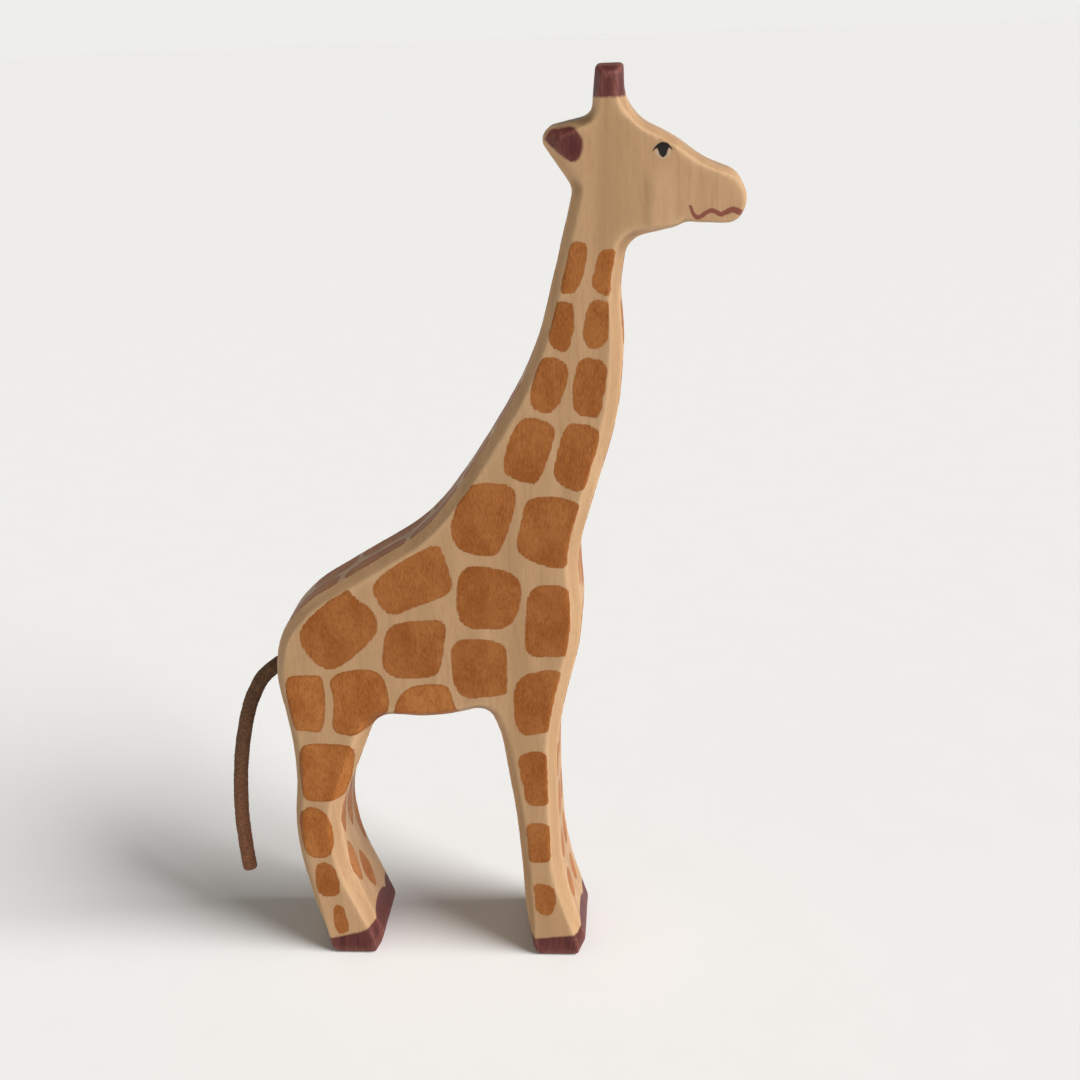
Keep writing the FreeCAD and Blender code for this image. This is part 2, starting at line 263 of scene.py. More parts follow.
giraffe = evened_copy("carved_body", "carved_giraffe", SKIN_STEP)
print("carved board:", len(giraffe.data.polygons), "faces")

# %% [markdown]
# A remesh of that size rounds the edges too much, and a finer one for the whole board would be very
# heavy. So only the faces along the edges are cut smaller. The faces under the eyes and the mouth are
# too, because those lines are painted with a fine brush and are thinner than one face. Then every
# point is set back on the true surface.

# %% Cut smaller faces where the shape or the paint is fine
CREASE = math.radians(14)  # two faces that meet at more than this make an edge
FINE_AREAS = [  # lowest and highest x, lowest and highest z, in millimetres
    (38.8, 45.4, 218.2, 223.6),
    (47.4, 61.6, 204.0, 208.7),
]
SIDE_OFFSET = 5.0  # the fine areas are on the outside of the cheeks, beyond this y

shell = bmesh.new()
shell.from_mesh(nodes["carved_body"].data)
true_surface = BVHTree.FromBMesh(shell)
shell.free()


def is_fine(point):
    x, y, z = (c / MM for c in point)
    inside = any(x0 < x < x1 and z0 < z < z1 for x0, x1, z0, z1 in FINE_AREAS)
    return inside and abs(y) > SIDE_OFFSET


def along_creases(shell):
    """The skin's edges that lie on or beside an edge of the true surface, outside the fine areas."""
    ways = [true_surface.find_nearest(vertex.co)[1] for vertex in shell.verts]
    near = set()
    for edge in shell.edges:
        first, second = edge.verts
        if ways[first.index].angle(ways[second.index]) > CREASE:
            near.update(edge.verts)
    return [
        edge for edge in shell.edges
        if not near.isdisjoint(edge.verts) and not all(is_fine(vertex.co) for vertex in edge.verts)
    ]


shell = bmesh.new()
shell.from_mesh(giraffe.data)
fine_edges = [edge for edge in shell.edges if all(is_fine(vertex.co) for vertex in edge.verts)]
bmesh.ops.subdivide_edges(shell, edges=fine_edges, cuts=4, use_grid_fill=True)
shell.verts.index_update()
bmesh.ops.subdivide_edges(shell, edges=along_creases(shell), cuts=1, use_grid_fill=True)
bmesh.ops.triangulate(shell, faces=[face for face in shell.faces if len(face.verts) > 4])
for vertex in shell.verts:
    vertex.co = true_surface.find_nearest(vertex.co)[0]
shell.to_mesh(giraffe.data)
shell.free()
print("with finer edges and cheeks:", len(giraffe.data.polygons), "faces, or",
      sum(len(face.vertices) - 2 for face in giraffe.data.polygons), "triangles")

# %% [markdown]
# ## Reading the surface
#
# The next steps need three things at each point: where it is, which way the wood faces there, and
# how sharp the edge is. Sanding pulls each point towards its neighbours. How far it would move, along
# the way the wood faces, is also a measure of how sharp the edge is there, so one calculation serves
# for both. Arrays keep it quick.

# %% Measure and soften the skin
mesh = giraffe.data
count = len(mesh.vertices)
edge_ends = np.empty(len(mesh.edges) * 2, np.int64)
mesh.edges.foreach_get("vertices", edge_ends)
edge_ends = edge_ends.reshape(-1, 2)
neighbours = np.bincount(edge_ends.ravel(), minlength=count)[:, None]


def read_places():
    places = np.empty(count * 3, np.float32)
    mesh.vertices.foreach_get("co", places)
    return places.reshape(-1, 3).astype(float) / MM


def write_places(places):
    mesh.vertices.foreach_set("co", (places * MM).astype(np.float32).ravel())
    mesh.update()


def read_facing():
    facing = np.empty(count * 3, np.float32)
    mesh.vertices.foreach_get("normal", facing)
    return facing.reshape(-1, 3).astype(float)


def relaxed(values, rounds, share=0.5):
    """The values, moved towards their neighbours' average the given number of times."""
    for _ in range(rounds):
        total = np.zeros_like(values)
        for axis in range(values.shape[1]):
            for near, far in ((0, 1), (1, 0)):
                total[:, axis] += np.bincount(
                    edge_ends[:, near], values[edge_ends[:, far], axis], minlength=count
                )
        values = values + share * (total / neighbours - values)
    return values


SANDING_ROUNDS = 2
SHARPNESS_ROUNDS = 14  # enough rounds for a bevel's edge to move and a facet to stay
FACING_ROUNDS = 2
SOLE_BAND = 0.8  # points lower than this, in millimetres, belong to the soles
drawn_places = read_places()
facing = read_facing()
sanded = relaxed(drawn_places, SANDING_ROUNDS)
shrink = ((drawn_places - relaxed(drawn_places, SHARPNESS_ROUNDS)) * facing).sum(axis=1)
sole = drawn_places[:, 2] < SOLE_BAND
sanded[sole, 2] = np.minimum(sanded[sole, 2], drawn_places[sole, 2])
print("sanding moves an edge by up to", round(np.abs(sanded - drawn_places).max(), 2), "mm")

# %% [markdown]
# ## Marks of the hand
#
# Each facet was cut with a knife or held against a sander, so none is truly flat. Slow noise along
# the surface gives long shallow waves on the sides and shorter ones along the bevels, where the tool
# took separate strokes. The waves are about a tenth of a millimetre deep, and they show only as
# slow changes of light. The soles stay flat, because the statue stands on them. Behind each jaw the
# knife left the neck a little lower than the cheek, in one low upright step.

# %% Let the facets wander
WAVE_LENGTH = 15.0
WAVE_DEPTH = 0.10
STROKE_LENGTH = 5.5
STROKE_DEPTH = 0.07
FULL_BEVEL = 1.5  # the strokes are whole where the wood drops this far from the side's plane
SOLE_RISE = 5.0  # the waves reach their full depth this far above the floor
CHEEK_LINE = 38.7  # x of the low step where the cheek begins
CHEEK_LENGTH = 8.0
CHEEK_RISE = 0.42
CHEEK_STEP = (-0.12, 0.06, 1.0)  # where the step starts, is highest and has run out, in lengths
CHEEK_FADE = (200.0, 205.0, 213.0, 218.0)  # heights between which the step is there
HALF_THICKNESS = 13.8  # of the board at the floor
SIDE_LEAN = math.radians(1.23)  # each side leans in this much towards the head


def side_drop(places):
    """How far each point lies inside the plane of its side: 0 on the flats, more on a bevel."""
    return HALF_THICKNESS - math.tan(SIDE_LEAN) * places[:, 2] - np.abs(places[:, 1])


drop = side_drop(drawn_places)
waves = np.array([noise.noise(Vector(p) / WAVE_LENGTH) for p in sanded])
strokes = np.array([noise.noise(Vector(p) / STROKE_LENGTH + Vector((0, 0, 40.0))) for p in sanded])
on_bevel = np.clip(drop / FULL_BEVEL, 0.0, 1.0)
above_sole = np.clip(sanded[:, 2] / SOLE_RISE, 0.0, 1.0)
depth = above_sole * (WAVE_DEPTH * waves + STROKE_DEPTH * on_bevel * strokes)
past_cheek = (sanded[:, 0] - CHEEK_LINE) / CHEEK_LENGTH
swell = np.interp(past_cheek, CHEEK_STEP, (0.0, 1.0, 0.0))
swell *= np.interp(sanded[:, 2], CHEEK_FADE, (0.0, 1.0, 1.0, 0.0)) * (1 - on_bevel)
depth += CHEEK_RISE * swell
write_places(sanded + facing * depth[:, None])
mesh.polygons.foreach_set("use_smooth", np.ones(len(mesh.polygons), bool))
facing = relaxed(facing, FACING_ROUNDS)
facing /= np.linalg.norm(facing, axis=1)[:, None]
print("facets wander and cheeks rise by up to", round(np.abs(depth).max(), 2), "mm")

# %% [markdown]
# ## Laying out the stain
#
# A giraffe's coat is painted on as brown patches with gaps of bare wood. Each patch could be a thin
# shell over the wood, or a drawing on a texture. Here it is an outline in the side's plane, and each
# point of the skin holds its distance to the nearest outline, below zero inside. The stain can
# then have a sharp edge, a ragged one or a soft one, whatever the size of the faces.
#
# An outline is a few corners, and the line between them is rounded by a share of each run.

# %% Draw outlines and measure distances to them
ROUNDING = 0.42
FAR_AWAY = 3.0  # distances are kept up to this many millimetres


def rounded_outline(corners, share=ROUNDING, steps=7):
    """Corners joined by straight runs, with a smooth curve at each corner."""
    corners = np.array(corners, float)
    turns = np.linspace(0.0, 1.0, steps)[:, None]
    pieces = []
    for before, here, after in zip(np.roll(corners, 1, 0), corners, np.roll(corners, -1, 0)):
        start = here + share * (before - here)
        end = here + share * (after - here)
        pieces.append((1 - turns) ** 2 * start + 2 * turns * (1 - turns) * here + turns**2 * end)
    return np.vstack(pieces)


def distance_to_line(points, line, closed):
    """Distance from each point to a line of straight runs."""
    ends = np.roll(line, -1, 0) if closed else line[1:]
    starts = line if closed else line[:-1]
    run = ends - starts
    gap = points[:, None] - starts[None]
    length = np.maximum((run**2).sum(axis=1), 1e-9)
    share = np.clip((gap * run).sum(axis=2) / length, 0.0, 1.0)
    return np.linalg.norm(gap - share[..., None] * run, axis=2).min(axis=1)


def inside_outline(points, outline):
    """Which points lie inside a closed outline, by counting the edges that a level ray crosses."""
    x, z = points[:, :1], points[:, 1:]
    x0, z0 = outline.T
    x1, z1 = np.roll(outline, -1, 0).T
    rise = np.where(z1 == z0, 1e-9, z1 - z0)
    crosses = ((z0 > z) != (z1 > z)) & (x < (x1 - x0) * (z - z0) / rise + x0)
    return crosses.sum(axis=1) % 2 == 1


def signed_distance(points, outline):
    """Distance to a closed outline, below zero inside it, measured only for points near it."""
    result = np.full(len(points), FAR_AWAY)
    low, high = outline.min(0) - FAR_AWAY, outline.max(0) + FAR_AWAY
    near = np.flatnonzero(((points > low) & (points < high)).all(axis=1))
    distance = np.minimum(distance_to_line(points[near], outline, True), FAR_AWAY)
    result[near] = np.where(inside_outline(points[near], outline), -distance, distance)
    return result


# %% [markdown]
# ## The patches on the sides
#
# The patches were dabbed on with a flat brush: small and narrow down the neck, broad and
# squarish on the body, small again down the legs. Along the front they stop at the bevel, which
# stays bare. At the rump and under the belly a few run over the edge.
#
# The two sides were painted by the same hand but not by the same strokes. The far side takes the
# same outlines, each one shifted and turned a little.

# %% List the side patches
FLAT_PATCHES = [  # corners as x, z in millimetres
    # neck, in pairs from the top
    [(21.4, 200.9), (24.9, 199.3), (21.6, 187.6), (16.4, 188.2), (18.2, 198)],
    [(27, 198.5), (31.5, 198.5), (29.5, 191.5), (29.5, 186.5), (24.5, 189), (26, 195)],
    [(17.5, 186.5), (20.5, 186), (21, 182), (19, 173), (13.5, 175.5), (15.5, 185.5)],
    [(29, 186.5), (29, 182), (28.5, 175.5), (24.5, 174), (22, 177), (24, 186.5)],
    [(12, 174), (20, 170.8), (15.6, 158), (8, 159.5)],
    [(29, 171.5), (27, 161), (26, 156.5), (18.8, 158.5), (20.8, 173)],
    [(6, 158.5), (15.5, 156), (14.5, 150.5), (10.5, 140), (6.5, 140.5), (0.5, 143.5)],
    [(22, 156), (27, 154), (23, 138.5), (19, 138), (13.5, 141.5), (17.5, 156)],
    # shoulder, chest and flank
    [(-7, 141.5), (6, 140), (2.5, 128), (-1, 120), (-11.5, 122.5), (-13, 130)],
    [(7.5, 137.5), (22, 136), (19, 125.5), (17, 116), (3.5, 121), (5.5, 130)],
    [(-35.5, 114), (-16, 125.5), (-14.5, 121), (-12, 111), (-23, 107), (-30.5, 103.5)],
    [(-41, 113), (-39, 110), (-33.5, 106), (-33, 99), (-48, 86.5), (-57, 99.5)],
    [(-21.5, 103.5), (-14.5, 103.5), (-17, 90), (-19, 86.5), (-33.5, 86.5), (-31.5, 102)],
    [(-11, 119.5), (5, 116.5), (5, 107.5), (1.5, 100.5), (-9.5, 100.5), (-12.5, 104.5)],
    [(6.5, 113), (19, 113), (17, 93), (15.5, 92.5), (5.5, 92.5), (5.5, 99)],
    [(0.5, 97.5), (0.5, 90.5), (0.3, 82), (-0.6, 81.5), (-14, 80), (-15, 98.5)],
    [(14.5, 89.5), (15, 85.5), (13, 71.5), (10.5, 70.5), (1.8, 69), (1.7, 87.3)],
    # lower hind leg, and the front leg
    [(-53.2, 30.3), (-50.3, 28), (-49.3, 18.8), (-56.6, 18.8), (-56.6, 29)],
    [(-49.5, 16), (-48.5, 12.5), (-48, 7), (-51.5, 6), (-52.5, 10), (-52, 16.5)],
    [(1.5, 64), (10.5, 65.5), (11, 54.5), (10.5, 48), (4, 48), (3.5, 53.5)],
    [(3.5, 43), (10.5, 43), (11, 35), (10, 30), (4, 30), (4, 35.5)],
    [(5, 24), (11, 23), (11.5, 17), (9.5, 12.5), (5.5, 14), (5.5, 18.5)],
]
WRAPPED_PATCHES = [
    # belly, rump and upper hind leg
    [(-26.5, 84), (-20.5, 85), (-15.4, 84.6), (-14.2, 79), (-12, 73), (-31.8, 72), (-30, 80)],
    [(-53.5, 87.5), (-48.5, 87.5), (-50, 70), (-55, 71), (-59, 71), (-60, 87.5)],
    [(-48, 88), (-33, 90), (-31, 76), (-41.5, 69), (-48.5, 70.5), (-46.5, 79)],
    [(-58, 67), (-50, 67.2), (-42, 66.6), (-43.6, 58), (-46, 49.6), (-52, 49.2), (-58.5, 49.5)],
    [(-56.2, 48.2), (-50.6, 45.2), (-50.4, 31.3), (-58.8, 31.2), (-60.2, 44.6)],
]
BEVEL_START = 0.3  # a flat patch ends this far down the bevel, and a wrapped one at its foot
BEVEL_FOOT = 3.2
HAND_SHIFT = 0.7
HAND_TURN = math.radians(5)


def laid_again(corners, hand):
    """The same patch as the same hand would paint it once more, a little shifted and turned."""
    corners = np.array(corners, float)
    middle = corners.mean(0)
    turn = hand.uniform(-HAND_TURN, HAND_TURN)
    turned = (corners - middle) @ np.array([
        [math.cos(turn), math.sin(turn)],
        [-math.sin(turn), math.cos(turn)],
    ])
    shift = np.array([hand.uniform(-HAND_SHIFT, HAND_SHIFT) for _ in range(2)])
    return middle + turned * hand.uniform(0.95, 1.04) + shift


def side_patches(near):
    """Distance of each point on one side to that side's patches, and far away for the rest."""
    hand = random.Random(11)
    side = np.flatnonzero((drawn_places[:, 1] < 0) == near)
    seen_from_side = drawn_places[side][:, [0, 2]]
    nearest = np.full(len(side), FAR_AWAY)
    for patches, limit in ((FLAT_PATCHES, BEVEL_START), (WRAPPED_PATCHES, BEVEL_FOOT)):
        for corners in patches:
            laid = corners if near else laid_again(corners, hand)
            distance = signed_distance(seen_from_side, rounded_outline(laid))
            nearest = np.minimum(nearest, np.maximum(distance, drop[side] - limit))
    result = np.full(count, FAR_AWAY)
    result[side] = nearest
    return result


patch_distance = np.minimum(side_patches(True), side_patches(False))
print("side patches:", len(FLAT_PATCHES) + len(WRAPPED_PATCHES), "on each side, over",
      round(100 * (patch_distance < 0).mean()), "% of the skin")

# %% [markdown]
# ## The patches on the edges
#
# The coat goes on over the back, down the chest and round the legs, on the narrow faces between
# the bevels. Two staggered rows fit there. On these faces a patch is an oval that can be drawn out
# to a lens or filled out to a box: where it lies along the edge, where across, half its length and
# half its width. How square it is belongs to the face.

# %% List the edge patches
EDGE_FACES = [
    # what it is, the way it faces, the axis its patches are placed along, squareness, x range,
    # z range, and each patch's place along, place across, half length and half width
    ("back", (-0.5, 0, 0.86), 0, 3.2, (-60, -9), (98, 142), [
        (-50.8, -5.9, 7, 4.9), (-33.6, -6.1, 8.4, 4.5), (-17.4, -5.9, 6.6, 4.5),
        (-46.5, 4.8, 6.2, 5.1), (-29.3, 5.5, 9.6, 4.9), (-14, 5.2, 4.6, 4.9),
    ]),
    ("rear of neck", (-1, 0, 0.3), 2, 3.2, (-12, 22), (136, 212), [
        (146, -4.6, 5.6, 4.4), (146.6, 5.2, 3.5, 4.2), (160, -5.6, 5.6, 3.6), (157, 3.8, 5.8, 4.9),
        (174, -4.4, 5.8, 4.4), (172, 5.3, 6.2, 3.4), (188, -5.2, 5.4, 3.4), (187, 3.6, 6, 4.2),
        (200.5, -3.8, 4.4, 3.9), (201.5, 4.8, 4.6, 2.8),
    ]),
    ("chest and throat", (1, 0, -0.2), 2, 3.2, (14, 36), (72, 200), [
        (193, -3.8, 4, 3.8), (192, 4.7, 4.8, 3), (180, -4.9, 5.6, 3.2), (178.5, 3.6, 5.8, 4.4),
        (165, -4.2, 6, 4.2), (163, 5, 6.4, 3.6), (149, -5, 6.2, 3.8), (147, 3.9, 5.8, 4.4),
        (132.5, -4.4, 6.6, 4.4), (131, 5.4, 6.2, 3.6), (114.5, 3.2, 7.2, 5), (117, -6.8, 5.6, 2.6),
        (97, -5, 7.4, 4.3), (96, 5.2, 6.4, 4.1), (80, 3.9, 5.6, 4.6), (81.5, -5.9, 5, 3.4),
    ]),
    ("front of the front leg", (1, 0, 0), 2, 2.2, (8, 22), (0, 71), [
        (60.5, -7.4, 6, 2.8), (62, 2.4, 5.6, 4.6), (46, -4.2, 5, 4.2), (44.5, 5.4, 4.6, 3.2),
        (32, -5.4, 4.4, 3.2), (31.5, 3.6, 5, 3.4), (19.4, -6, 4.4, 3), (18.6, 3.2, 4.2, 2.6),
    ]),
    ("front of the hind leg", (1, 0, 0.2), 2, 1.5, (-52, -34), (0, 72), [
        (60.6, -5.2, 5.2, 4.6), (58.8, 5.2, 5.2, 4.6), (44, -7, 8, 3), (41.6, 1.2, 8.4, 3.2),
        (34.2, 8.6, 10, 3.2), (26.6, -7, 6.6, 3.2), (19.9, -0.5, 6, 3.1),
    ]),
    ("rear of the hind leg", (-1, 0, 0), 2, 2.8, (-66, -50), (0, 84), [
        (74, -5.2, 6.2, 4.2), (73, 5, 5.8, 4.2), (58.5, -4.2, 5.4, 4.6), (57, 6, 5, 3.2),
        (43, -5.8, 5.4, 3.4), (42, 3.6, 5.8, 4.2), (27.5, -4, 4.8, 4.2), (26.5, 5.6, 4.2, 3.2),
        (14, -4.6, 3, 3), (14.5, 4.2, 3.2, 3.2),
    ]),
    ("rear of the front leg", (-1, 0, 0), 2, 2.8, (-5, 6), (0, 68), [
        (57, -4.8, 5.6, 4.2), (55.5, 5, 5.2, 3.8), (41, -5.2, 4.8, 3.4), (40, 4, 5.4, 4.2),
        (26, -4.2, 4.6, 4), (25, 5.4, 4.2, 3), (13, 0.2, 3, 3.6),
    ]),
]
LEAST_FACING = 0.55
EDGE_FACE_START = 3.3  # how far in from a side's plane the narrow faces begin
EDGE_FACE_MARGIN = 1.0  # points up to this far outside them are measured too, for the stain's edge


def oval_distance(along, across, patch, squareness):
    """Roughly the distance to a lens, an oval or a box with round corners, below zero inside it."""
    middle_along, middle_across, half_length, half_width = patch
    reach = np.abs((along - middle_along) / half_length) ** squareness
    reach += np.abs((across - middle_across) / half_width) ** squareness
    return (reach ** (1 / squareness) - 1) * min(half_length, half_width)


x, y, z = drawn_places.T
for name, direction, measured, squareness, x_range, z_range, patches in EDGE_FACES:
    turned_to = facing @ np.array(Vector(direction).normalized())
    here = (turned_to > LEAST_FACING) & (drop > EDGE_FACE_START - EDGE_FACE_MARGIN)
    here &= (x > x_range[0]) & (x < x_range[1]) & (z > z_range[0]) & (z < z_range[1])
    off_face = (EDGE_FACE_START - drop)[here]
    for patch in patches:
        distance = oval_distance(drawn_places[here, measured], y[here], patch, squareness)
        patch_distance[here] = np.minimum(patch_distance[here], np.maximum(distance, off_face))
    print(name + ":", len(patches), "patches")

# %% [markdown]
# ## The dark stain
#
# Hooves, horns and the sides of the ears have a second, wine-brown stain. Hooves and horns have it
# on all their faces, because they were dipped or brushed all round. A hoof's upper edge slopes up
# towards the front, and across the front it makes two round lobes with a cleft between them. An ear
# is not hollowed: its stain is a patch on the side that turns a little way over the bevel behind it.

# %% Measure the hooves, horns and ears
HOOVES = [
    # x of the rear edge, of the front bevel and of its tip, and the stain's height at each,
    # on the near side and on the far side
    ((-53.5, -44.3, -40.7), (5.0, 7.3, 9.6), (5.6, 9.4, 12.6)),
    ((3.9, 17.1, 18.2), (5.4, 6.8, 8.2), (5.2, 7.6, 10.8)),
]
BETWEEN_LEGS = -20.0
LOBE_HEIGHT = 3.1
LOBE_ROUNDNESS = 0.6
CLEFT_PLACE = 0.73  # of the way across the front face, from the near side
FACE_HALF_WIDTH = 10.4
FRONT_GAIN, FRONT_START = 2.2, 1.1  # how quickly the lobes come in as the wood turns to the front
REAR_GAIN, REAR_START = 2.0, 1.0
REAR_LOBE = 0.5
HOOF_FACE_START = 3.0
HORN_FOOT = 232.9
EAR = [
    (11.6, 226.4), (17.0, 226.2), (21.6, 226.9), (23.8, 223.6), (23.2, 219.7), (20.8, 218.2),
    (15.8, 222.3),
]
EAR_FOOT = 2.9

hoof_distance = np.full(count, FAR_AWAY)
across_face = np.clip((y + FACE_HALF_WIDTH) / (2 * FACE_HALF_WIDTH), 0.0, 1.0)
lobes = LOBE_HEIGHT * np.abs(np.sin(math.pi * across_face / CLEFT_PLACE)) ** LOBE_ROUNDNESS
for (x_places, near_heights, far_heights), leg in zip(HOOVES, (x < BETWEEN_LEGS, x >= BETWEEN_LEGS)):
    near_top = np.interp(x, x_places, near_heights)
    far_top = np.interp(x, x_places, far_heights)
    forward = np.clip(facing[:, 0] * FRONT_GAIN - FRONT_START, 0.0, 1.0) * (drop > HOOF_FACE_START)
    top = np.where(y > FACE_HALF_WIDTH, far_top, near_top + forward * lobes)
    behind = np.clip(-facing[:, 0] * REAR_GAIN - REAR_START, 0.0, 1.0)
    top = top + behind * REAR_LOBE * np.abs(np.sin(2 * math.pi * across_face))
    hoof_distance[leg] = np.clip(z - top, -FAR_AWAY, FAR_AWAY)[leg]
horn_distance = np.clip(HORN_FOOT - z, -FAR_AWAY, FAR_AWAY)
ear_distance = signed_distance(drawn_places[:, [0, 2]], rounded_outline(EAR))
ear_distance = np.maximum(ear_distance, np.minimum(drop - EAR_FOOT, FAR_AWAY))
dark_distance = np.minimum(np.minimum(hoof_distance, horn_distance), ear_distance)
print("dark stain covers", round(100 * (dark_distance < 0).mean()), "% of the skin")

# %% [markdown]
# ## The face
#
# Each eye is a black pupil that hangs from a curved black lid, with a little pale paint beside it, and
# the mouth is one wavy red-brown line along the cheek, thicker towards the nose. All are the brush's
# own shapes, so they are outlines too. Both sides take the same ones.

# %% Measure the eyes and the mouth
EYE_PLACE = np.array((42.1, 221.0))
EYE = [  # the lid from its left tip over to its right tip, then back along and round the pupil
    (-2.45, -0.60), (-2.05, 0.52), (-1.0, 1.50), (0, 1.72), (1.08, 1.45), (1.95, 0.52), (2.45, -0.65),
    (1.75, 0.17), (1.32, 0.27), (1.06, -0.35), (0.9, -1.2), (0, -1.90), (-0.77, -1.2), (-1.0, -0.35),
    (-1.36, 0.35), (-1.80, 0.10),
]
EYE_WHITE = [(-2.1, -0.3), (0, 0.6), (2.1, -0.3), (1.5, -1.4), (0, -2.2), (-1.5, -1.4)]
MOUTH = [
    (48.4, 208.0), (48.9, 206.4), (49.7, 205.2), (50.8, 205.2), (52.2, 206.3), (53.6, 206.8),
    (54.8, 206.1), (55.7, 205.6), (56.7, 206.1), (58.2, 206.75), (59.3, 206.5), (60.8, 205.6),
]
EYE_ROUNDING = 0.36
MOUTH_HALF_WIDTH = ((48.4, 50.0, 55.0, 58.5), (0.34, 0.51, 0.54, 0.72))  # at x, so wide each way

CHEEKS_FROM_X, CHEEKS_FROM_Z = 37.0, 203.0
LEAST_SIDEWAYS = 0.15  # paint may reach the cheek's bevel, and not the brow or the underside

face_side = np.flatnonzero(
    (x > CHEEKS_FROM_X) & (z > CHEEKS_FROM_Z) & (np.abs(facing[:, 1]) > LEAST_SIDEWAYS)
)
on_face = drawn_places[face_side][:, [0, 2]]


def face_distance(outline):
    result = np.full(count, FAR_AWAY)
    result[face_side] = signed_distance(on_face, outline)
    return result


eye_distance = face_distance(EYE_PLACE + rounded_outline(EYE, EYE_ROUNDING))
white_distance = face_distance(EYE_PLACE + rounded_outline(EYE_WHITE))
corners = np.array(MOUTH)
middles = (corners[1:] + corners[:-1]) / 2
turns = np.linspace(0.0, 1.0, 7)[:, None]
mouth_line = np.vstack([corners[:1]] + [
    (1 - turns) ** 2 * a + 2 * turns * (1 - turns) * b + turns**2 * c
    for a, b, c in zip(middles[:-1], corners[1:-1], middles[1:])
] + [corners[-1:]])
mouth_distance = np.full(count, FAR_AWAY)
along_mouth = distance_to_line(on_face, mouth_line, False)
half_width = np.interp(on_face[:, 0], *MOUTH_HALF_WIDTH)
mouth_distance[face_side] = np.minimum(along_mouth - half_width, FAR_AWAY)
print("points that hold an eye:", int((eye_distance < 0).sum()))

# %% [markdown]
# The distances, and the sharpness of the edges, are kept on the skin as named attributes. A material
# reads them by name.

# %% Store the measures on the skin
# Sharp edges get a pale mark, partly wear and partly painted highlight, and inner corners get painted
# shade. Both marks are full at this sharpness.
FULL_MARK_SHARPNESS = 0.16  # sharpness, in millimetres, of an edge that hands have rubbed quite bare
worn_and_lit_edge = np.clip(shrink / FULL_MARK_SHARPNESS, 0.0, 1.0)
# How deep each inner corner is, for the painted shade laid into it.
inner_corner_shade = np.clip(-shrink / FULL_MARK_SHARPNESS, 0.0, 1.0)
MEASURES = {
    "patch_distance": patch_distance,
    "dark_distance": dark_distance,
    "eye_distance": eye_distance,
    "white_distance": white_distance,
    "mouth_distance": mouth_distance,
    "worn_and_lit_edge": worn_and_lit_edge,
    "inner_corner_shade": inner_corner_shade,
}
for name, values in MEASURES.items():
    attribute = mesh.attributes.new(name, "FLOAT", "POINT")
    attribute.data.foreach_set("value", values.astype(np.float32))
print("measures on the skin:", ", ".join(MEASURES))

# %% [markdown]
# ## A small kit for materials
#
# A material is a tree of nodes. Making each node and each wire by hand takes many lines, so this kit
# adds a node, sets it and wires it in one call. A value that is a socket is wired, and any other
# value is typed into its box.

# %% Make the material kit
class Finish:
    """One material, with short ways to add nodes to it."""

    def __init__(self, name):
        self.material = bpy.data.materials.new(name)
        self.material.use_nodes = True
        self.tree = self.material.node_tree
        self.tree.nodes.clear()
        self.place = self.add("ShaderNodeTexCoord").outputs["Object"]

    def add(self, kind, inputs=None, **settings):
        node = self.tree.nodes.new(kind)
        for name, value in settings.items():
            setattr(node, name, value)
        for name, value in (inputs or {}).items():
            self.give(node.inputs[name], value)
        return node

    def give(self, socket, value):
        if isinstance(value, bpy.types.NodeSocket):
            self.tree.links.new(value, socket)
        else:
            socket.default_value = value

    def sum(self, operation, *values):
        """One step of arithmetic, such as ADD or MULTIPLY."""
        node = self.add("ShaderNodeMath", operation=operation)
        for socket, value in zip(node.inputs, values):
            self.give(socket, value)
        return node.outputs[0]

    def stretched(self, x, y, z):
        """The place, in millimetres, made longer or shorter along each axis."""
        scale = (x / MM, y / MM, z / MM)
        node = self.add("ShaderNodeVectorMath", operation="MULTIPLY")
        self.give(node.inputs[0], self.place)
        self.give(node.inputs[1], scale)
        return node.outputs[0]

    def noise(self, where, scale, detail=2.0, roughness=0.5):
        """Smooth noise from 0 to 1, with its grain about 1 / scale long."""
        values = {"Vector": where, "Scale": scale, "Detail": detail, "Roughness": roughness}
        return self.add("ShaderNodeTexNoise", values).outputs["Fac"]

    def between(self, value, low, high, to_low=0.0, to_high=1.0):
        """Carries a range of values to another, and stops at its ends."""
        taken = {"Value": value, "From Min": low, "From Max": high}
        given = {"To Min": to_low, "To Max": to_high}
        return self.add("ShaderNodeMapRange", {**taken, **given}).outputs["Result"]

    def mixed(self, share, first, second):
        """A colour between two others."""
        node = self.add("ShaderNodeMix", data_type="RGBA")
        self.give(node.inputs["Factor"], share)
        self.give(node.inputs[6], first)
        self.give(node.inputs[7], second)
        return node.outputs[2]

    def measure(self, name):
        """A value that the skin holds under that name."""
        return self.add("ShaderNodeAttribute", attribute_name=name).outputs["Fac"]

    def dent(self, height, strength, distance):
        """Small relief that bends the light and doesn't move the surface."""
        values = {"Height": height, "Strength": strength, "Distance": distance}
        return self.add("ShaderNodeBump", values).outputs["Normal"]

    def surface(self, **inputs):
        """Closes the tree with one Principled shader. Underscores in the names stand for spaces."""
        shader = self.add("ShaderNodeBsdfPrincipled")
        for name, value in inputs.items():
            self.give(shader.inputs[name.replace("_", " ")], value)
        output = self.add("ShaderNodeOutputMaterial")
        self.tree.links.new(shader.outputs[0], output.inputs["Surface"])
        return self.material


# %% [markdown]
# ## Maple
#
# Maple is pale and close-grained. Seen on the flat, its grain is fine streaks that run the length of
# the board, here upwards, with slow bands of lighter and darker wood where the years of growth come
# to the surface. Short darker flecks, a few millimetres long, are its rays and pores. Each is noise,
# stretched along the grain by making its upward measure small.

# %% Mix the bare wood
GRAIN_DRIFT = 9.0  # how far the grain wanders sideways, in millimetres

